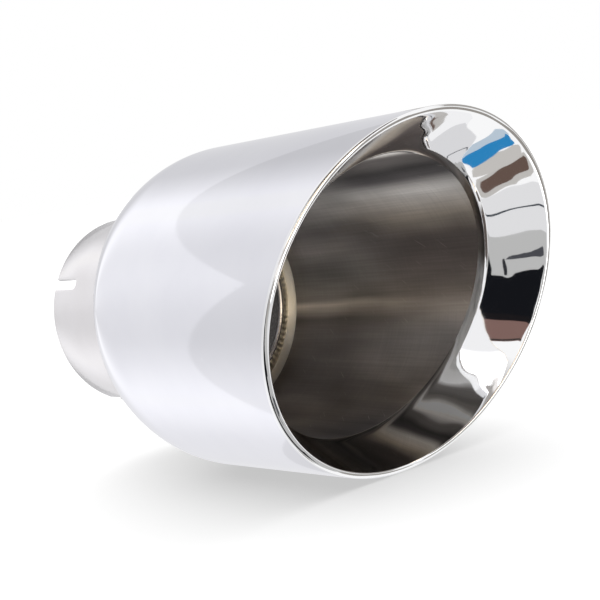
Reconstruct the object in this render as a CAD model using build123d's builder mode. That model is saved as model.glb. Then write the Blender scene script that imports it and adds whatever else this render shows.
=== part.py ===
import os
from math import asin, cos, degrees, radians, sin, sqrt, tan

from build123d import *

# Slash-cut exhaust tip in millimetres. The axis is X, from the inlet at the origin to the mouth.
# +Z is up, and the long side of the slant is on top.

# Outer shell
shell_diameter = 127.0
shell_wall = 1.2
shell_length = 183.0  # inlet end to the centre of the slanted cut
slash_angle = 20.6  # degrees from square to the axis
dome_radius = 48.0  # round section of the spun rear

# Inlet neck
neck_bore = 77.2
neck_wall = 2.0
neck_length = 45.6  # free length behind the dome
neck_inset = 9.0  # reach past the dome's inner face
neck_clearance = 0.15  # dome hole round the neck
neck_edge = 0.5  # broken outer edge at the open end
slot_count = 4
slot_width = 4.5
slot_length = 17.0
slot_turn = -15.0  # degrees of the first slot from the top, towards -Y

# Weld between neck and dome
weld_leg = 6.0
weld_crown = 0.7

# Inner liner with its flared lip and turned rim
liner_bore = 101.0  # at the bend
liner_rear_bore = 97.0  # the tube narrows a little towards the inlet
liner_wall = 1.2
liner_clearance = 0.3  # liner end to the dome's inner face
lip_angle = 26.4  # flare of the lip from the axis, degrees
lip_clearance = 0.3  # back of the lip to the shell at the cut
bend_angle = 23.6  # slant of the bend between tube and lip, degrees
bend_radius = 10.0  # inside face of the bend
rim_height = 1.5  # rim in front of the shell's cut
rim_round = 0.95

# Sizes that follow
shell_radius = shell_diameter / 2
neck_radius = neck_bore / 2 + neck_wall
liner_bore_radius = liner_bore / 2
liner_rear_radius = liner_rear_bore / 2
hole_radius = neck_radius + neck_clearance
dome_inner_radius = dome_radius - shell_wall
dome_centre_height = shell_radius - dome_radius
dome_centre = neck_length + sqrt(dome_radius**2 - (neck_radius - dome_centre_height) ** 2)


def dome_inner_x(radius, clearance=0.0):
    """Where the dome's inner face, or a surface kept clear of it, reaches a radius."""
    return dome_centre - sqrt((dome_inner_radius - clearance) ** 2 - (radius - dome_centre_height) ** 2)


def dome_arc_size(radius):
    """Sweep in degrees of a dome arc from the shell's straight side to the neck hole."""
    return 90 - degrees(asin((hole_radius - dome_centre_height) / radius))


def slant_plane(distance, angle):
    """Plane across the axis, leaned back at the bottom, its Y axis running up the slant."""
    lean = radians(angle)
    return Plane(origin=(distance, 0, 0), x_dir=(0, 1, 0), z_dir=(cos(lean), 0, -sin(lean)))


def slant_ellipse(radius, angle):
    """Section of a round tube on a slant plane."""
    return Ellipse(radius, radius / cos(radians(angle)))


# Lip, from the bend to the rim's crest
lip_flare = radians(lip_angle)
lip_back_radius = shell_radius - shell_wall - lip_clearance
lip_cut_radius = lip_back_radius - liner_wall / cos(lip_flare)
lip_depth = (lip_cut_radius - liner_bore_radius) / tan(lip_flare)
crest_radius = lip_cut_radius + rim_height * tan(lip_flare)
bend_front = shell_length - lip_depth
bend_back = bend_front - liner_wall * tan(lip_flare / 2)
liner_rear = dome_inner_x(liner_rear_radius + liner_wall, liner_clearance)

cut_plane = slant_plane(shell_length, slash_angle)
crest_plane = slant_plane(shell_length + rim_height, slash_angle)
front_reach = shell_length + shell_radius

os.makedirs("parts", exist_ok=True)

# Outer shell: thin section turned about the axis, then cut on the slant
with BuildPart() as outer_shell:
    with BuildSketch(Plane.XZ):
        with BuildLine():
            outer_arc = CenterArc((dome_centre, dome_centre_height), dome_radius, 90, dome_arc_size(dome_radius))
            inner_arc = CenterArc(
                (dome_centre, dome_centre_height), dome_inner_radius, 90, dome_arc_size(dome_inner_radius)
            )
            Polyline(
                outer_arc @ 0,
                (front_reach, shell_radius),
                (front_reach, shell_radius - shell_wall),
                inner_arc @ 0,
            )
            Line(outer_arc @ 1, inner_arc @ 1)
        make_face()
    revolve(axis=Axis.X)
    split(bisect_by=cut_plane, keep=Keep.BOTTOM)
outer_shell.part.label = "outer_shell"
export_step(outer_shell.part, "parts/outer_shell.step")

# Inlet neck: tube with slots open to the rear and rounded at their inner ends
neck_end = dome_inner_x(neck_radius) + neck_inset
with BuildPart() as inlet_neck:
    with BuildSketch(Plane.YZ):
        Circle(neck_radius)
        Circle(neck_bore / 2, mode=Mode.SUBTRACT)
    extrude(amount=neck_end)
    rear_face = inlet_neck.faces().sort_by(Axis.X)[0]
    chamfer(rear_face.edges().sort_by(SortBy.LENGTH)[-1], length=neck_edge)
    for index in range(slot_count):
        slot_lean = radians(slot_turn + index * 360 / slot_count)
        slot_plane = Plane(origin=(0, 0, 0), x_dir=(1, 0, 0), z_dir=(0, -sin(slot_lean), cos(slot_lean)))
        with BuildSketch(slot_plane):
            SlotOverall(2 * slot_length, slot_width)
        extrude(amount=neck_radius + neck_wall, mode=Mode.SUBTRACT)
inlet_neck.part.label = "inlet_neck"
export_step(inlet_neck.part, "parts/inlet_neck.step")

# Weld: crowned fillet in the corner between the neck and the dome's inner face
weld_toe_radius = neck_radius + weld_leg
with BuildPart() as neck_weld:
    with BuildSketch(Plane.XZ):
        with BuildLine():
            root = (dome_inner_x(neck_radius), neck_radius)
            neck_toe = (root[0] + weld_leg, neck_radius)
            dome_toe = (dome_inner_x(weld_toe_radius), weld_toe_radius)
            Line(root, neck_toe)
            SagittaArc(neck_toe, dome_toe, -weld_crown)
            RadiusArc(dome_toe, root, dome_inner_radius)
        make_face()
    revolve(axis=Axis.X)
neck_weld.part.label = "neck_weld"
export_step(neck_weld.part, "parts/neck_weld.step")


def flared_form(wall, bend_at, mouth_radius, mouth_plane):
    """Round bar that widens a little to a slanted bend and flares from there to the mouth."""
    with BuildPart() as form:
        with BuildSketch(Plane.YZ.offset(liner_rear)):
            Circle(liner_rear_radius + wall)
        with BuildSketch(slant_plane(bend_at, bend_angle)):
            slant_ellipse(liner_bore_radius + wall, bend_angle)
        with BuildSketch(mouth_plane):
            slant_ellipse(mouth_radius, slash_angle)
        loft(ruled=True)
        mouth_face = form.faces().filter_by(GeomType.PLANE).sort_by(Axis.X)[-1]
        bend_edges = form.edges().filter_by(GeomType.ELLIPSE) - mouth_face.edges()
        fillet(bend_edges, radius=bend_radius + wall)
    return form.part


# Inner liner: flared tube of even thickness, with the rim turned over the shell's cut
lip_back = flared_form(liner_wall, bend_back, lip_back_radius, cut_plane)
lip_face = flared_form(0, bend_front, crest_radius, crest_plane)
with BuildPart() as inner_liner:
    add(lip_back)
    with BuildSketch(cut_plane):
        slant_ellipse(shell_radius, slash_angle)
    extrude(amount=rim_height, dir=(1, 0, 0))
    add(lip_face, mode=Mode.SUBTRACT)
    crest = inner_liner.faces().filter_by(GeomType.PLANE).sort_by(Axis.X)[-1]
    fillet(crest.edges(), radius=rim_round)
inner_liner.part.label = "inner_liner"
export_step(inner_liner.part, "parts/inner_liner.step")
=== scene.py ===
from math import asin, atan2, cos, pi, radians, sin, sqrt, tan

import bmesh
import bpy
from mathutils import Matrix, Vector


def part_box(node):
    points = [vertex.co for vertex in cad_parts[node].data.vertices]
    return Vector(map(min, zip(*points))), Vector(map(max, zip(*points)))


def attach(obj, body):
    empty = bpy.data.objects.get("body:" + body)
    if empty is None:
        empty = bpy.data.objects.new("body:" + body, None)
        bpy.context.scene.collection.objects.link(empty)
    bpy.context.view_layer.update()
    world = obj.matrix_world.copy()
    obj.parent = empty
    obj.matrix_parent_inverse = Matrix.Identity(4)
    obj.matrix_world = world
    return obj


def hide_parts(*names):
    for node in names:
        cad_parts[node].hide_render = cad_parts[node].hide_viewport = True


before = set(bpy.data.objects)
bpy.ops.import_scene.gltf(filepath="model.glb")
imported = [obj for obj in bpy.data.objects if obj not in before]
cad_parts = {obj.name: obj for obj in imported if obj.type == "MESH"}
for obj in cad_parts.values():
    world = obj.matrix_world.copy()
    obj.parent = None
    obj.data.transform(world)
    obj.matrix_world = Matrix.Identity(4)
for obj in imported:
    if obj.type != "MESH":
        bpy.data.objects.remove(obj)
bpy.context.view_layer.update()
mm = 0.001
scene = bpy.context.scene
scene.view_settings.view_transform = "Standard"
print("frame loaded, nodes:", sorted(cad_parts))


def hexLinear(code):
    # sRGB hex code to linear colour
    parts = [int(code[i:i + 2], 16) / 255 for i in (1, 3, 5)]
    return [c / 12.92 if c <= 0.04045 else ((c + 0.055) / 1.055) ** 2.4 for c in parts] + [1.0]


def addNode(tree, kind, values=None, links=None, **settings):
    node = tree.nodes.new(kind)
    for name, value in settings.items():
        setattr(node, name, value)
    for socket, value in (values or {}).items():
        node.inputs[socket].default_value = value
    for socket, source in (links or {}).items():
        tree.links.new(source, node.inputs[socket])
    return node


def newMaterial(name):
    material = bpy.data.materials.new(name)
    material.use_nodes = True
    material.node_tree.nodes.clear()
    return material, material.node_tree


def objectCoords(tree):
    return addNode(tree, "ShaderNodeTexCoord").outputs["Object"]


def addNoise(tree, coords, grain, detail, roughness=0.5):
    # noise with a grain size in mm along X, Y and Z
    scaled = addNode(tree, "ShaderNodeMapping", {"Scale": [1 / (size * mm) for size in grain]}, {"Vector": coords})
    return addNode(tree, "ShaderNodeTexNoise", {"Scale": 1.0, "Detail": detail, "Roughness": roughness},
                   {"Vector": scaled.outputs[0]}).outputs["Fac"]


def addRange(tree, value, before=(0.0, 1.0), after=(0.0, 1.0), **settings):
    # carries a value from one range to another
    limits = {"From Min": before[0], "From Max": before[1], "To Min": after[0], "To Max": after[1]}
    return addNode(tree, "ShaderNodeMapRange", limits, {"Value": value}, **settings).outputs[0]


def addMath(tree, operation, *terms):
    # each term is a number or another node's output
    numbers = {place: term for place, term in enumerate(terms) if isinstance(term, float)}
    links = {place: term for place, term in enumerate(terms) if place not in numbers}
    return addNode(tree, "ShaderNodeMath", numbers, links, operation=operation).outputs[0]


def addMix(tree, share, first, second):
    # each colour is a hex code or another node's output
    values, links = {}, {0: share}
    for socket, colour in ((6, first), (7, second)):
        if isinstance(colour, str):
            values[socket] = hexLinear(colour)
        else:
            links[socket] = colour
    return addNode(tree, "ShaderNodeMix", values, links, data_type="RGBA").outputs[2]


def addBump(tree, height, strength, depthMm):
    sizes = {"Strength": strength, "Distance": depthMm * mm}
    return addNode(tree, "ShaderNodeBump", sizes, {"Height": height}).outputs[0]


def addRamp(tree, share, tones):
    # tones are linear colours by their place on the ramp, from 0 to 1
    ramp = addNode(tree, "ShaderNodeValToRGB", links={0: share})
    stops = ramp.color_ramp.elements
    for place, colour in tones.items():
        stop = stops[0] if place == 0 else stops[-1] if place == 1 else stops.new(place)
        stop.position = place
        stop.color = colour
    return ramp


def angleRound(tree, parts):
    # angle round the X axis, from +Y over the top
    return addMath(tree, "ARCTAN2", parts.outputs["Z"], parts.outputs["Y"])


def tangentRound(tree):
    return addNode(tree, "ShaderNodeTangent", direction_type="RADIAL", axis="X").outputs[0]


def showMetal(tree, values, links):
    steel = addNode(tree, "ShaderNodeBsdfPrincipled", {"Metallic": 1.0, **values}, links)
    addNode(tree, "ShaderNodeOutputMaterial", links={"Surface": steel.outputs[0]})


def showGlow(tree, values, links=None):
    glow = addNode(tree, "ShaderNodeEmission", values, links)
    addNode(tree, "ShaderNodeOutputMaterial", links={"Surface": glow.outputs[0]})


# finishes. Grain sizes are in mm along X, Y and Z. Real hairlines and brush lines are too fine to show at this
# distance, so they are drawn coarser
shellFinish = {"steel": "#f0f0f4", "smudge": "#e6e6ec", "rough": (0.02, 0.05), "smudgeGrain": (26.0, 26.0, 26.0),
               "smudgeRange": (0.3, 0.75), "lineGrain": (0.35, 40.0, 40.0), "lineBump": 0.04, "lineDepthMm": 0.02,
               "markGrain": (9.0, 3.0, 3.0), "markRange": (0.66, 0.74), "markRough": 0.12}


def polishedShellSteel(look):
    # stainless buffed to a mirror on a wheel: hairlines run round the tube, hands leave soft smudges
    material, tree = newMaterial("stainless steel, mirror buffed")
    coords = objectCoords(tree)
    smudges = addNoise(tree, coords, look["smudgeGrain"], detail=3.0, roughness=0.55)
    lines = addNoise(tree, coords, look["lineGrain"], detail=2.0)
    marks = addRange(tree, addNoise(tree, coords, look["markGrain"], detail=4.0, roughness=0.7), look["markRange"])
    smudged = addRange(tree, smudges, look["smudgeRange"], look["rough"])
    rough = addMath(tree, "MULTIPLY_ADD", marks, look["markRough"], smudged)
    tint = addMix(tree, smudges, look["steel"], look["smudge"])
    bump = addBump(tree, lines, look["lineBump"], look["lineDepthMm"])
    showMetal(tree, {}, {"Base Color": tint, "Roughness": rough, "Normal": bump})
    return material


lipFinish = {"steel": "#f7f7f8", "rough": (0.018, 0.048), "lineGrain": (0.3, 30.0, 30.0),
             "waveGrain": (13.0, 13.0, 13.0), "waveBump": 0.5, "waveDepthMm": 0.6}


def mirrorLipSteel(look):
    # the flared lip is polished last and brightest: a clear mirror that wavers a little where the sheet was spun
    material, tree = newMaterial("stainless steel, spun lip polished bright")
    coords = objectCoords(tree)
    waves = addNoise(tree, coords, look["waveGrain"], detail=0.0)
    lines = addNoise(tree, coords, look["lineGrain"], detail=2.0)
    rough = addRange(tree, lines, after=look["rough"])
    bump = addBump(tree, waves, look["waveBump"], look["waveDepthMm"])
    showMetal(tree, {"Base Color": hexLinear(look["steel"])}, {"Roughness": rough, "Normal": bump})
    return material


# painted shine and shade of the bore by degrees round it, from +Y over the top, deep inside and near the mouth; a
# painted highlight along the bend
linerFinish = {"boreMm": 50.0, "rough": (0.44, 0.66), "anisotropic": 1.0, "shineTurn": 0.25,
               "lineGrain": (0.7, 25.0, 25.0), "streakGrain": (60.0, 0.8, 0.8), "patchGrain": (42.0, 14.0, 14.0),
               "lineBump": 0.3, "lineDepthMm": 0.06, "markRange": (0.3, 0.7), "lineTone": (0.93, 1.07),
               "streakTone": (0.93, 1.07), "patchTone": (0.75, 1.2), "waver": 0.006, "change": (88.0, 138.0),
               "scratchGrain": (11.0, 0.4, 1.0), "scratchTurn": 38.0, "scratchRange": (0.71, 0.8), "scratchShare": 0.6,
               "scratch": "#d8d2cb", "bendSlope": 23.6, "highlightBand": (159.6, 160.6), "highlightTone": "#f4f0ea",
               "deep": {0: "#d6cfc8", 3: "#969290", 16: "#92908e", 28: "#b4aeab", 37: "#9e9997", 56: "#c8c4c0",
                        72: "#8a8786", 90: "#a09b98", 130: "#c8c3be", 137: "#ffffff", 225: "#ffffff", 240: "#b8b2ad",
                        264: "#9a938e", 300: "#b4aaa2", 308: "#a59d97", 342: "#aea8a6", 353: "#7e7a79", 360: "#d6cfc8"},
               "mouth": {0: "#a39e9c", 4: "#908a87", 18: "#827a77", 30: "#7d7572", 41: "#c6bcb0", 55: "#cac7c4",
                         64: "#5c595a", 72: "#464444", 88: "#8c8785", 94: "#f4f0ec", 104: "#fffdfa", 110: "#a8a39e",
                         116: "#84807d", 130: "#8c8885", 138: "#ffffff", 225: "#ffffff", 240: "#9a9490",
                         264: "#747070", 294: "#666262", 312: "#a8a09a", 332: "#d6d2cf", 349: "#b4b1b1",
                         360: "#a39e9c"}}


def brushedLinerSteel(look):
    # bore brushed round and round with an abrasive flap: fine rings and a few long scratches, with lengthwise bands of
    # shine and shade painted into its colour
    material, tree = newMaterial("stainless steel, brushed round the bore")
    coords = objectCoords(tree)
    parts = addNode(tree, "ShaderNodeSeparateXYZ", links={0: coords})
    lines = addNoise(tree, coords, look["lineGrain"], detail=3.0, roughness=0.6)
    streaks = addNoise(tree, coords, look["streakGrain"], detail=2.0)
    patches = addNoise(tree, coords, look["patchGrain"], detail=1.0)
    # painted bands of shine and shade by angle, which waver a little and change from deep inside to the mouth
    angle = angleRound(tree, parts)
    waver = addRange(tree, patches, after=(-look["waver"], look["waver"]))
    turn = addMath(tree, "ADD", addMath(tree, "MULTIPLY", angle, 1 / (2 * pi)), waver)
    share = addMath(tree, "FRACT", turn)
    tones = []
    for place in ("deep", "mouth"):
        colours = {degrees / 360: hexLinear(colour) for degrees, colour in look[place].items()}
        tones.append(addRamp(tree, share, colours).outputs[0])
    change = addRange(tree, parts.outputs["X"], [x * mm for x in look["change"]], interpolation_type="SMOOTHSTEP")
    bands = addMix(tree, change, *tones)
    # brush marks: lines round the bore, faint streaks along it and broad patches, multiplied together
    grain = addRange(tree, lines, look["markRange"], look["lineTone"])
    faint = addRange(tree, streaks, look["markRange"], look["streakTone"])
    broad = addRange(tree, patches, look["markRange"], look["patchTone"])
    marks = addMath(tree, "MULTIPLY", addMath(tree, "MULTIPLY", grain, faint), broad)
    # the painted shine and shade, multiplied by the brush marks
    shineAndMarks = addNode(tree, "ShaderNodeMix", {0: 1.0}, {6: bands, 7: marks}, data_type="RGBA", blend_type="MULTIPLY")
    # scratches lie aslant on the unrolled bore
    along = addMath(tree, "MULTIPLY", angle, look["boreMm"] * mm)
    unrolled = addNode(tree, "ShaderNodeCombineXYZ", links={0: parts.outputs["X"], 1: along})
    aslant = addNode(tree, "ShaderNodeMapping", {"Rotation": (0, 0, radians(look["scratchTurn"]))},
                     {"Vector": unrolled.outputs[0]})
    scratches = addNoise(tree, aslant.outputs[0], look["scratchGrain"], detail=1.0)
    scratchShare = addRange(tree, scratches, look["scratchRange"], (0.0, look["scratchShare"]))
    scratched = addMix(tree, scratchShare, shineAndMarks.outputs[2], look["scratch"])
    # a painted highlight: a bright line along the front end of the tube, next to the bend into the lip
    reach = addNode(tree, "ShaderNodeVectorMath", {1: (1, 0, -tan(radians(look["bendSlope"])))}, {0: coords},
                    operation="DOT_PRODUCT")
    edge = addRange(tree, reach.outputs["Value"], [x * mm for x in look["highlightBand"]])
    tint = addMix(tree, edge, scratched, look["highlightTone"])
    rough = addRange(tree, lines, after=look["rough"])
    bump = addBump(tree, lines, look["lineBump"], look["lineDepthMm"])
    showMetal(tree, {"Anisotropic": look["anisotropic"], "Anisotropic Rotation": look["shineTurn"]},
              {"Base Color": tint, "Roughness": rough, "Normal": bump, "Tangent": tangentRound(tree)})
    return material


neckFinish = {"steel": "#ebe9ea", "dull": "#e0dddd", "rough": (0.14, 0.26), "patchGrain": (14.0, 14.0, 14.0),
              "lineGrain": (0.5, 30.0, 30.0), "lineBump": 0.15, "lineDepthMm": 0.03}


def satinNeckSteel(look):
    # welded tube left in its satin mill finish: duller and a touch warmer than the buffed shell
    material, tree = newMaterial("stainless steel tube, satin")
    coords = objectCoords(tree)
    patches = addNoise(tree, coords, look["patchGrain"], detail=4.0)
    lines = addNoise(tree, coords, look["lineGrain"], detail=3.0)
    tint = addMix(tree, patches, look["dull"], look["steel"])
    rough = addRange(tree, patches, after=look["rough"])
    bump = addBump(tree, lines, look["lineBump"], look["lineDepthMm"])
    showMetal(tree, {}, {"Base Color": tint, "Roughness": rough, "Normal": bump})
    return material


weldFinish = {"straw": "#f5eddb", "steel": "#f4f2ec", "rough": (0.238, 0.476), "anisotropic": 0.85, "shineTurn": 0.25,
              "bandGrain": (1.6, 6.0, 6.0), "bandBump": 0.3, "bandDepthMm": 0.1}


def strawWeldSteel(look, name):
    # steel beside the weld took heat: a thin oxide tints it straw, in bands round the bead
    material, tree = newMaterial(name)
    bands = addNoise(tree, objectCoords(tree), look["bandGrain"], detail=3.0)
    tint = addMix(tree, bands, look["steel"], look["straw"])
    rough = addRange(tree, bands, after=look["rough"])
    bump = addBump(tree, bands, look["bandBump"], look["bandDepthMm"])
    showMetal(tree, {"Anisotropic": look["anisotropic"], "Anisotropic Rotation": look["shineTurn"]},
              {"Base Color": tint, "Roughness": rough, "Normal": bump, "Tangent": tangentRound(tree)})
    return material


buffedSteel = polishedShellSteel(shellFinish)
brightSteel = mirrorLipSteel(lipFinish)
brushedSteel = brushedLinerSteel(linerFinish)
satinSteel = satinNeckSteel(neckFinish)
beadSteel = strawWeldSteel(weldFinish, "stainless weld bead, straw tint")
heatedSteel = strawWeldSteel(weldFinish, "stainless sheet, straw tint beside a weld")
print("finishes made")


# modelling helpers, in millimetres
ringSteps = 288
sharpDegrees = 40
tiny = 0.0001


def ring(bm, point, segments=ringSteps):
    # circle round the X axis at (x, radius, slide); slide carries its top forward, as a slanted cut does
    x, radius, slide = point
    place = Matrix(((0, slide / radius, 1, x), (1, 0, 0, 0), (0, 1, 0, 0), (0, 0, 0, 1)))
    made = bmesh.ops.create_circle(bm, segments=segments, radius=radius, matrix=place)
    return list(dict.fromkeys(edge for vert in made["verts"] for edge in vert.link_edges))


def skin(bm, points, segments=ringSteps):
    # strips of faces from ring to ring, and from the last back to the first
    rings = [ring(bm, point, segments) for point in points]
    pairs = zip(rings, rings[1:] + rings[:1])
    return [bmesh.ops.bridge_loops(bm, edges=first + second)["faces"] for first, second in pairs]


def roundCorner(before, corner, after, radius, steps):
    # arc of a given radius in place of a corner of the section, the slide blended along with it
    before, corner, after = Vector(before), Vector(corner), Vector(after)
    legIn, legOut = (before - corner).xy, (after - corner).xy
    turn = pi - legIn.angle(legOut)
    setback = radius * tan(turn / 2)
    start = corner + (before - corner) * (setback / legIn.length)
    end = corner + (after - corner) * (setback / legOut.length)
    weight = cos(turn / 2)
    arc = []
    for step in range(steps + 1):
        t = step / steps
        a, b, c = (1 - t) ** 2, 2 * t * (1 - t) * weight, t ** 2
        arc.append((start * a + corner * b + end * c) / (a + b + c))
    return arc


def finishPiece(bm, name, materials, nodes):
    bmesh.ops.scale(bm, vec=(mm, mm, mm), verts=bm.verts)
    bmesh.ops.recalc_face_normals(bm, faces=bm.faces)
    mesh = bpy.data.meshes.new(name)
    bm.to_mesh(mesh)
    bm.free()
    for material in materials:
        mesh.materials.append(material)
    mesh.shade_smooth()
    mesh.set_sharp_from_angle(angle=radians(sharpDegrees))
    piece = bpy.data.objects.new(name, mesh)
    scene.collection.objects.link(piece)
    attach(piece, "root")
    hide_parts(*nodes)
    print("made", name, "with", len(mesh.polygons), "faces")


# outer shell
shell = {"wall": 1.2, "cutAt": 183.0, "slash": 20.6, "domeRadius": 48.0, "hole": 40.75, "domeSteps": 48,
         "domeLead": 2.0}
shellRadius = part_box("outer_shell")[1].y / mm
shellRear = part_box("outer_shell")[0].x / mm
slashSlope = tan(radians(shell["slash"]))
domeHeight = shellRadius - shell["domeRadius"]
domeX = shellRear + sqrt(shell["domeRadius"] ** 2 - (shell["hole"] - domeHeight) ** 2)


def domePoints(radius):
    # arc of the dome, from the hole for the neck out to the straight wall
    first = asin((shell["hole"] - domeHeight) / radius)
    sweep = pi / 2 - first
    angles = [first + sweep * step / shell["domeSteps"] for step in range(shell["domeSteps"] + 1)]
    return [(domeX - radius * cos(angle), domeHeight + radius * sin(angle), 0) for angle in angles]


def wallPoints(inset):
    # dome, then the straight wall as far as the slanted cut
    radius = shellRadius - inset
    straight = [(domeX + shell["domeLead"], radius, 0), (shell["cutAt"], radius, radius * slashSlope)]
    return domePoints(shell["domeRadius"] - inset) + straight


def buildShell():
    outer, inner = wallPoints(0), wallPoints(shell["wall"])
    bm = bmesh.new()
    strips = skin(bm, outer + inner[::-1])
    for strip in strips[len(outer):]:  # the inside keeps the tint of the welding
        for face in strip:
            face.material_index = 1
    finishPiece(bm, "shellSkin", [buffedSteel, heatedSteel], ["outer_shell"])


buildShell()

# inner liner: brushed tube, then the bright lip and the rim that turns over the shell's cut
liner = {"wall": 1.2, "bore": 50.5, "rearBore": 48.5, "bendAngle": 23.6, "bendRadius": 10.0, "lipFlare": 26.4,
         "lipGap": 0.3, "rimHeight": 1.5, "rimRound": 0.95, "polishIn": 0.6, "bendSteps": 14, "rimSteps": 10,
         "lipSteps": 12, "lipBackSteps": 3, "tubeSteps": 24, "tubeBackSteps": 4}
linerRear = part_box("inner_liner")[0].x / mm
bendSlope = tan(radians(liner["bendAngle"]))
flare = radians(liner["lipFlare"])
lipBack = shellRadius - shell["wall"] - liner["lipGap"]
lipFace = lipBack - liner["wall"] / cos(flare)
bendX = shell["cutAt"] - (lipFace - liner["bore"]) / tan(flare)
crestX = shell["cutAt"] + liner["rimHeight"]
crestRadius = lipFace + liner["rimHeight"] * tan(flare)


def between(first, last, steps):
    # points that divide a line into steps, without its ends
    return [Vector(first).lerp(Vector(last), step / steps) for step in range(1, steps)]


def slanted(x, radius, slope):
    return (x, radius, radius * slope)


rearIn = (linerRear, liner["rearBore"], 0)
rearOut = (linerRear, liner["rearBore"] + liner["wall"], 0)
bendIn = slanted(bendX, liner["bore"], bendSlope)
bendOut = slanted(bendX - liner["wall"] * tan(flare / 2), liner["bore"] + liner["wall"], bendSlope)
crestIn = slanted(crestX, crestRadius, slashSlope)
crestOut = slanted(crestX, shellRadius, slashSlope)
rimBack = slanted(shell["cutAt"], shellRadius, slashSlope)
lipRoot = slanted(shell["cutAt"], lipBack, slashSlope)
innerBend = roundCorner(rearIn, bendIn, crestIn, liner["bendRadius"], liner["bendSteps"])
outerBend = roundCorner(lipRoot, bendOut, rearOut, liner["bendRadius"] + liner["wall"], liner["bendSteps"])
innerRim = roundCorner(bendIn, crestIn, crestOut, liner["rimRound"], liner["rimSteps"])
outerRim = roundCorner(crestIn, crestOut, rimBack, liner["rimRound"], liner["rimSteps"])


def alongTube(rear, front):
    # where the polish starts, a little behind the bend
    return Vector(front).lerp(Vector(rear), liner["polishIn"] / (front[0] - rear[0]))


polishIn, polishOut = alongTube(rearIn, innerBend[0]), alongTube(rearOut, outerBend[-1])


def buildLinerTube():
    bm = bmesh.new()
    inside = [rearIn] + between(rearIn, polishIn, liner["tubeSteps"]) + [polishIn]
    outside = [polishOut] + between(polishOut, rearOut, liner["tubeBackSteps"]) + [rearOut]
    skin(bm, inside + outside)
    finishPiece(bm, "linerTube", [brushedSteel], ["inner_liner"])


def buildLip():
    bm = bmesh.new()
    face = [polishIn] + innerBend + between(innerBend[-1], innerRim[0], liner["lipSteps"]) + innerRim
    back = between(lipRoot, outerBend[0], liner["lipBackSteps"]) + outerBend + [polishOut]
    skin(bm, face + outerRim + [rimBack, lipRoot] + back)
    finishPiece(bm, "polishedLip", [brightSteel], ["inner_liner"])


buildLinerTube()
buildLip()

# inlet neck: a sheet with slots in its rear edge, rolled into a tube
neck = {"wall": 2.0, "slotCount": 4, "slotWidth": 4.5, "slotLength": 17.0, "slotTurn": -15.0, "edge": 0.35,
        "edgeSteps": 2, "edgeDegrees": 60.0, "endRound": 1.5, "endSteps": 5, "stepDegrees": 2.0, "slotArcSteps": 12,
        "rowGap": 1.0, "seamDistance": 0.001, "endReach": 0.01}
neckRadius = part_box("inlet_neck")[1].y / mm
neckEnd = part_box("inlet_neck")[1].x / mm


def cutAcross(bm, place, normal):
    bmesh.ops.bisect_plane(bm, geom=bm.verts[:] + bm.edges[:] + bm.faces[:], dist=tiny, plane_co=place, plane_no=normal)


def buildNeck():
    bm = bmesh.new()
    slotPitch = 2 * pi / neck["slotCount"]
    halfSlot = neck["slotWidth"] / 2
    seam = radians(neck["slotTurn"]) - slotPitch / 2  # the seam falls between two slots
    outline = [(neckEnd, seam * neckRadius), (0, seam * neckRadius)]
    for index in range(neck["slotCount"]):
        middle = (seam + slotPitch * (index + 0.5)) * neckRadius
        outline.append((0, middle - halfSlot))
        for step in range(neck["slotArcSteps"] + 1):
            angle = -pi / 2 + pi * step / neck["slotArcSteps"]
            outline.append((neck["slotLength"] - halfSlot + halfSlot * cos(angle), middle + halfSlot * sin(angle)))
        outline.append((0, middle + halfSlot))
    outline += [(0, (seam + 2 * pi) * neckRadius), (neckEnd, (seam + 2 * pi) * neckRadius)]
    bm.faces.new([bm.verts.new((x, along, 0)) for x, along in outline])
    stepCount = int(360 / neck["stepDegrees"])
    for step in range(1, stepCount):
        cutAcross(bm, (0, (seam + 2 * pi * step / stepCount) * neckRadius, 0), (0, 1, 0))
    for row in (neck["slotLength"] + neck["rowGap"], neckEnd - neck["rowGap"]):
        cutAcross(bm, (row, 0, 0), (1, 0, 0))
    for vert in bm.verts:  # roll it, angles from the top towards -Y
        angle = vert.co.y / neckRadius
        vert.co.y, vert.co.z = -neckRadius * sin(angle), neckRadius * cos(angle)
    bmesh.ops.remove_doubles(bm, verts=bm.verts, dist=neck["seamDistance"])
    bmesh.ops.recalc_face_normals(bm, faces=bm.faces)
    bm.normal_update()
    probe = bm.faces[0]
    middle = probe.calc_center_median()
    if probe.normal.y * middle.y + probe.normal.z * middle.z < 0:  # faces look outward
        bmesh.ops.reverse_faces(bm, faces=bm.faces)
    bmesh.ops.solidify(bm, geom=bm.faces[:], thickness=neck["wall"])
    bm.normal_update()
    turned = radians(neck["edgeDegrees"])
    edges = [edge for edge in bm.edges if len(edge.link_faces) == 2 and edge.calc_face_angle() > turned]
    endLine, boreLine = neckEnd - neck["endReach"], neckRadius - neck["wall"] / 2
    inner = [edge for edge in edges
             if all(vert.co.x > endLine and vert.co.yz.length < boreLine for vert in edge.verts)]
    outer = [edge for edge in edges if edge not in inner]
    bmesh.ops.bevel(bm, geom=outer, offset=neck["edge"], offset_type="OFFSET", segments=neck["edgeSteps"],
                    profile=0.5, affect="EDGES", material=-1)
    bmesh.ops.bevel(bm, geom=inner, offset=neck["endRound"], offset_type="OFFSET", segments=neck["endSteps"],
                    profile=0.5, affect="EDGES", material=-1)
    finishPiece(bm, "neckTube", [satinSteel], ["inlet_neck"])


buildNeck()

# weld bead between neck and dome, seen down the bore
weld = {"leg": 6.0, "crown": 0.7, "ripples": 110, "rippleHeight": 0.12, "rippleSweep": 2.2, "steps": 16,
        "segments": 880}


def domeInside(radius):
    # X of the dome's inner face at a radius
    inner = shell["domeRadius"] - shell["wall"]
    return domeX - sqrt(inner ** 2 - (radius - domeHeight) ** 2)


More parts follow.
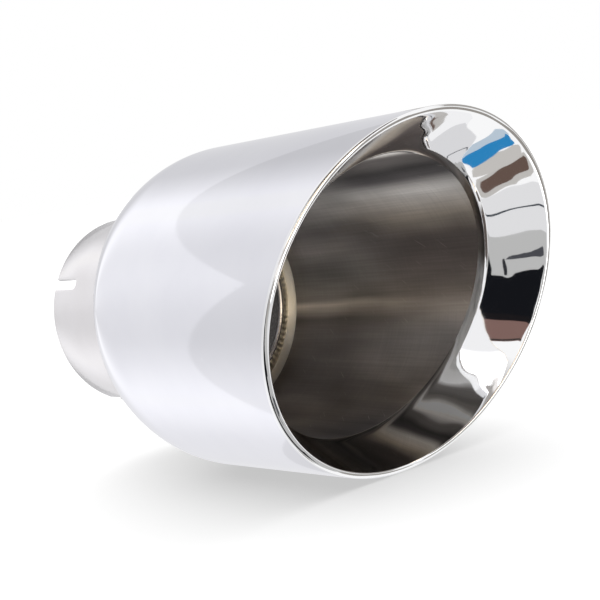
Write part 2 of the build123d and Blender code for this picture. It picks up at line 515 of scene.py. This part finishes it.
def buildWeld():
    root = Vector((domeInside(neckRadius), neckRadius, 0))
    neckToe = root + Vector((weld["leg"], 0, 0))
    toeRadius = neckRadius + weld["leg"]
    domeToe = Vector((domeInside(toeRadius), toeRadius, 0))
    outward = Vector((neckToe.y - domeToe.y, domeToe.x - neckToe.x, 0)).normalized() * -1
    crown = []
    for step in range(weld["steps"] + 1):
        t = step / weld["steps"]
        crown.append(neckToe.lerp(domeToe, t) + outward * (4 * t * (1 - t) * weld["crown"]))
    bm = bmesh.new()
    skin(bm, crown + [root], segments=weld["segments"])
    chord = domeToe - neckToe
    for vert in bm.verts:  # a ripple for each dip of the filler rod, curved back across the bead
        across = (Vector((vert.co.x, vert.co.yz.length, 0)) - neckToe).dot(chord) / chord.length_squared
        lift = max(0.0, 4 * across * (1 - across))
        turn = atan2(vert.co.z, vert.co.y) * weld["ripples"] + weld["rippleSweep"] * lift
        push = outward * (lift * weld["rippleHeight"] * sin(turn))
        widen = 1 + push.y / vert.co.yz.length
        vert.co = Vector((vert.co.x + push.x, vert.co.y * widen, vert.co.z * widen))
    finishPiece(bm, "weldBead", [beadSteel], ["neck_weld"])


buildWeld()

# floor, light and camera
studio = {"floor": "#f4f4f4", "reach": 6000.0, "rise": 12.0, "fall": 28.0, "bend": 140.0, "bendSteps": 8, "gap": 0.1,
          "floorGlow": 0.55, "ambient": 0.12, "sunStrength": 2.1, "sunAngle": 120.0, "sunTravel": (0.12, 0.1, -0.98)}
white = (1, 1, 1, 1)


def stageMesh(name, bm, material):
    mesh = bpy.data.meshes.new(name)
    bm.to_mesh(mesh)
    bm.free()
    mesh.materials.append(material)
    thing = bpy.data.objects.new(name, mesh)
    scene.collection.objects.link(thing)
    return thing


def buildFloor():
    # paper that glows a little, so that it comes out white and keeps a soft shadow
    material, tree = newMaterial("matt white paper")
    paper = addNode(tree, "ShaderNodeBsdfDiffuse", {"Color": hexLinear(studio["floor"])})
    glow = addNode(tree, "ShaderNodeEmission", {"Color": white, "Strength": studio["floorGlow"]})
    both = addNode(tree, "ShaderNodeAddShader", links={0: paper.outputs[0], 1: glow.outputs[0]})
    addNode(tree, "ShaderNodeOutputMaterial", links={"Surface": both.outputs[0]})
    # one edge of the sheet, rising a little behind the tip and bent down in front, is drawn out along X
    tilt, reach, steps = radians(studio["rise"]), studio["reach"], studio["bendSteps"]
    rise, fall = tan(tilt), tan(radians(studio["fall"]))
    touch = Vector((shellRadius * sin(tilt), -shellRadius * cos(tilt) - studio["gap"]))  # where the shell lies on it
    edge = [(touch.x + reach, touch.y + reach * rise), touch]
    for step in range(1, steps + 1):
        out = studio["bend"] * step / steps
        edge.append((touch.x - out, touch.y - out * rise - (fall - rise) * out * step / (2 * steps)))
    edge.append((edge[-1][0] - reach, edge[-1][1] - reach * fall))
    bm = bmesh.new()
    verts = [bm.verts.new((-reach, y, z)) for y, z in edge]
    lines = [bm.edges.new(pair) for pair in zip(verts, verts[1:])]
    drawn = bmesh.ops.extrude_edge_only(bm, edges=lines)
    bmesh.ops.translate(bm, vec=(2 * reach, 0, 0),
                        verts=[part for part in drawn["geom"] if isinstance(part, bmesh.types.BMVert)])
    bmesh.ops.recalc_face_normals(bm, faces=bm.faces)
    bmesh.ops.scale(bm, vec=(mm, mm, mm), verts=bm.verts)
    floor = stageMesh("paperFloor", bm, material)
    floor.data.shade_smooth()
    floor.visible_glossy = False  # the metal mirrors the white surroundings and the cards


def buildWorld():
    # white where it is seen or mirrored, dim as a light
    world = bpy.data.worlds.new("white studio")
    scene.world = world
    world.use_nodes = True
    tree = world.node_tree
    tree.nodes.clear()
    path = addNode(tree, "ShaderNodeLightPath")
    mirrored = addMath(tree, "MAXIMUM", path.outputs["Is Camera Ray"], path.outputs["Is Glossy Ray"])
    seen = addMath(tree, "MAXIMUM", mirrored, path.outputs["Is Transmission Ray"])
    light = addNode(tree, "ShaderNodeBackground", {"Color": white, "Strength": studio["ambient"]})
    backdrop = addNode(tree, "ShaderNodeBackground", {"Color": white, "Strength": 1.0})
    mix = addNode(tree, "ShaderNodeMixShader", links={0: seen, 1: light.outputs[0], 2: backdrop.outputs[0]})
    addNode(tree, "ShaderNodeOutputWorld", links={"Surface": mix.outputs[0]})


def mirroredOnly(card):
    # cards are there for the polished metal to mirror, and light nothing else
    card.visible_camera = False
    card.visible_diffuse = False
    card.visible_shadow = False


# four-sided white cloth behind the inlet, its sides bowed, with a grey seam and a greyer wall behind it
tent = {"x": -400.0, "round": 850.0, "sides": {30: 640.0, 121: 398.0, 211: 417.0, 300: 458.0}, "steps": 240,
        "seam": 1.5, "seamX": -404.0, "wallX": -420.0, "wallSize": 1500.0, "clothLevel": 1.13, "seamLevel": 0.9,
        "wallLevel": 1.0, "tint": (0.97, 0.97, 0.99),
        "levels": {0: 0.74, 78: 0.66, 98: 0.86, 114: 1.04, 140: 0.9, 166: 0.875, 190: 0.79, 210: 0.82, 245: 1.02,
                   276: 0.86, 310: 0.78, 360: 0.75}}


def tentCloth(name, strength):
    # cloth that is lit unevenly round the axis: dim at the top, bright on the slopes
    material, tree = newMaterial(name)
    parts = addNode(tree, "ShaderNodeSeparateXYZ", links={0: objectCoords(tree)})
    share = addMath(tree, "FRACT", addMath(tree, "MULTIPLY", angleRound(tree, parts), 1 / (2 * pi)))
    tones = {degrees / 360: [level * part for part in tent["tint"]] + [1] for degrees, level in tent["levels"].items()}
    ramp = addRamp(tree, share, tones)
    ramp.color_ramp.interpolation = "CARDINAL"
    showGlow(tree, {"Strength": strength}, {"Color": ramp.outputs[0]})
    return material


def clothReach(turn):
    # each side is an arc, and the nearest one bounds the cloth
    reaches = []
    for side, middle in tent["sides"].items():
        away, lean = tent["round"] - middle, turn - radians(side)
        reaches.append(sqrt(tent["round"] ** 2 - (away * sin(lean)) ** 2) - away * cos(lean))
    return min(reaches)


def buildTent():
    upright = Matrix(((0, 0, 1, 0), (1, 0, 0, 0), (0, 1, 0, 0), (0, 0, 0, 1)))
    layers = [("tentCloth", tent["x"], 0.0, tentCloth("white cloth, lit", tent["clothLevel"])),
              ("tentSeam", tent["seamX"], tent["seam"], tentCloth("cloth seam", tent["seamLevel"]))]
    for name, x, extra, material in layers:
        bm = bmesh.new()
        bmesh.ops.create_circle(bm, cap_ends=True, segments=tent["steps"], radius=1, matrix=upright)
        for vert in bm.verts:
            reach = clothReach(atan2(vert.co.z, vert.co.y)) + extra
            vert.co = Vector((x, vert.co.y * reach, vert.co.z * reach)) * mm
        mirroredOnly(stageMesh(name, bm, material))
    bm = bmesh.new()
    bmesh.ops.create_grid(bm, x_segments=1, y_segments=1, size=tent["wallSize"] * mm,
                          matrix=Matrix.Translation((tent["wallX"] * mm, 0, 0)) @ upright)
    mirroredOnly(stageMesh("tentWall", bm, tentCloth("pale grey wall", tent["wallLevel"])))


# flat cards for the metal to mirror: outlines lie level at a height, the others have a middle, half sizes and a turn
cards = {
    "blackCard": {"height": -62.5, "colour": "#15161a",
                  "outline": [(168, -22), (174.5, -24), (177.5, -36), (179, -48), (185, -52), (189, -58), (193, -58),
                              (196, -54), (202, -58), (205, -52), (208, -44), (211, -46), (213, -68), (252, -300),
                              (196, -300)]},
    "paleCard": {"height": -63.0, "colour": "#bdbdbc", "outline": [(165, -70), (265, -70), (265, -7), (165, -7)]},
    "lightCard": {"height": -63.0, "colour": "#e4e4e5", "outline": [(165, -7), (265, -7), (265, 28), (165, 28)]},
    "thinChip": {"height": -62.4, "colour": "#2c2d31",
                 "outline": [(187, -28), (189, -27), (190, -40), (189, -53), (186.6, -51), (186.4, -38)]},
    "wideChip": {"height": -62.4, "colour": "#4a4b50",
                 "outline": [(190, -29), (195, -21), (204, -18), (206, -29), (200, -34), (194, -31)]},
    "thinCard": {"height": -62.4, "colour": "#3a4048",
                 "outline": [(170, 10.4), (210, 10.0), (210, 11.6), (170, 12.2)]},
    "brownCard": {"height": -400.0, "colour": "#66544c",
                  "outline": [(143, 70), (152, 73), (158, 80), (170, 80), (178, 70), (184, 44), (187, 22), (180, 8),
                              (170, 8), (160, 16), (153, 28), (145, 50)]},
    "blueCard": {"height": -200.0, "colour": "#2f86c0",
                 "outline": [(138, 112), (140, 104), (146, 94), (150, 85), (156, 84), (163, 84), (170, 88), (174, 92),
                             (172, 98), (168, 106), (166, 118), (160, 127), (156, 121), (150, 116), (144, 117)]},
    "paleBlueCard": {"height": -201.0, "colour": "#bccbd8",
                     "outline": [(124, 110), (150, 112), (156, 118), (168, 120), (174, 130), (160, 142), (146, 150),
                                 (122, 150)]},
    "greyCard": {"height": -201.0, "colour": "#c6c3bf",
                 "outline": [(150, 66), (182, 58), (184, 84), (168, 90), (150, 84)]},
    "greyBack": {"height": -402.0, "colour": "#c2bfbb",
                 "outline": [(132, 84), (152, 88), (172, 92), (190, 84), (200, 44), (204, 10), (186, -12), (160, -4),
                             (140, 14), (132, 50)]},
    # the screen hides the low cards from the shell
    "whiteScreen": {"at": (122.8, 12, -232), "half": (172, 165), "turn": (0, 103.45, 0), "colour": "#ffffff"},
    "warmCard": {"at": (320, -905, 0), "half": (60, 100), "turn": (90, 0, 0), "colour": "#80655f"},
    "darkCard": {"at": (320, -905, -160), "half": (60, 60), "turn": (90, 0, 0), "colour": "#1c1a1c"},
    "narrowCard": {"at": (320, -904, 84), "half": (60, 9), "turn": (90, 0, 0), "colour": "#3a3432"},
    "cornerCard": {"at": (1000, 1000, -700), "half": (350, 340), "turn": (0, 90, 0), "colour": "#98948f"},
    "inletCard": {"at": (-3, 0, 0), "half": (27, 27), "turn": (0, 90, 0), "colour": "#3a3836"},
}


def buildCard(name, card):
    material, tree = newMaterial("card " + name)
    showGlow(tree, {"Color": hexLinear(card["colour"]), "Strength": 1.0})
    bm = bmesh.new()
    if "outline" in card:
        bm.faces.new([bm.verts.new((x, y, card["height"])) for x, y in card["outline"]])
    else:
        bmesh.ops.create_grid(bm, x_segments=1, y_segments=1, size=1)
        bmesh.ops.scale(bm, vec=(card["half"][0], card["half"][1], 1), verts=bm.verts)
        for axis, degrees in zip("XYZ", card["turn"]):
            bmesh.ops.rotate(bm, matrix=Matrix.Rotation(radians(degrees), 3, axis), verts=bm.verts)
        bmesh.ops.translate(bm, vec=card["at"], verts=bm.verts)
    bmesh.ops.scale(bm, vec=(mm, mm, mm), verts=bm.verts)
    mirroredOnly(stageMesh(name, bm, material))


# upright boards with tones by height in mm: two in front of the mouth, one at the far side and one at the near side
boards = {
    "frontBoard": {"at": (1000, -725), "width": 1750, "turn": 90, "strength": 5.0,
                   "levels": {-1000: "#504e4c", -480: "#504e4c", -430: "#7c7a78", -390: "#7c7a78", -340: "#5c5856",
                              -150: "#5c5856", -130: "#8a8272", -50: "#8a8272", -30: "#706c68", 20: "#706c68",
                              35: "#f0dcc0", 70: "#f0dcc0", 90: "#302c2a", 1600: "#262220"}},
    "lowBoard": {"at": (1010, 390), "width": 580, "turn": 90, "strength": 3.0,
                 "levels": {-1600: "#ffffff", -480: "#ffffff", -250: "#9c9c9c"}},
    "farBoard": {"at": (200, 520), "width": 1400, "turn": 0, "strength": 1.0,
                 "levels": {-60: "#ffffff", 20: "#b4b1ad", 300: "#a3a09c", 700: "#a9a6a2", 950: "#ffffff"}},
    "nearBoard": {"at": (150, -900), "width": 1400, "turn": 0, "strength": 1.0,
                  "levels": {300: "#ffffff", 700: "#94908d", 1000: "#86827f", 1450: "#ffffff"}},
}


def buildBoard(name, board):
    material, tree = newMaterial("painted " + name)
    low, high = min(board["levels"]), max(board["levels"])
    parts = addNode(tree, "ShaderNodeSeparateXYZ", links={0: objectCoords(tree)})
    share = addRange(tree, parts.outputs["Z"], (low * mm, high * mm))
    tones = {(height - low) / (high - low): hexLinear(colour) for height, colour in board["levels"].items()}
    showGlow(tree, {"Strength": board["strength"]}, {"Color": addRamp(tree, share, tones).outputs[0]})
    bm = bmesh.new()
    bmesh.ops.create_grid(bm, x_segments=1, y_segments=1, size=0.5)
    bmesh.ops.scale(bm, vec=(board["width"], high - low, 1), verts=bm.verts)
    for axis, degrees in (("X", 90), ("Z", board["turn"])):
        bmesh.ops.rotate(bm, matrix=Matrix.Rotation(radians(degrees), 3, axis), verts=bm.verts)
    bmesh.ops.translate(bm, vec=(*board["at"], (high + low) / 2), verts=bm.verts)
    bmesh.ops.scale(bm, vec=(mm, mm, mm), verts=bm.verts)
    mirroredOnly(stageMesh(name, bm, material))


buildTent()
for name, card in cards.items():
    buildCard(name, card)
for name, board in boards.items():
    buildBoard(name, board)
buildFloor()
buildWorld()

sun = bpy.data.lights.new("softSun", "SUN")
sun.energy = studio["sunStrength"]
sun.angle = radians(studio["sunAngle"])
softSun = bpy.data.objects.new("softSun", sun)
softSun.rotation_mode = "QUATERNION"
softSun.rotation_quaternion = Vector(studio["sunTravel"]).to_track_quat("-Z", "Y")
softSun.visible_glossy = False  # its broad disc stays out of the mirroring steel
scene.collection.objects.link(softSun)

view = {"eye": (539.65, -330.14, -9.69), "look": (-0.78631, 0.61752, 0.02011), "rollDegrees": 0.905, "lens": 84.57,
        "sensor": 36.0}
lens = bpy.data.cameras.new("camera")
lens.lens = view["lens"]
lens.sensor_width = view["sensor"]
camera = bpy.data.objects.new("camera", lens)
camera.location = Vector(view["eye"]) * mm
camera.rotation_mode = "QUATERNION"
aim = Vector(view["look"]).to_track_quat("-Z", "Y")
camera.rotation_quaternion = aim @ Matrix.Rotation(radians(-view["rollDegrees"]), 4, "Z").to_quaternion()
scene.collection.objects.link(camera)
scene.camera = camera
scene.cycles.caustics_reflective = False  # the floor keeps a soft shadow, without glints thrown by the lip
print("stage set")
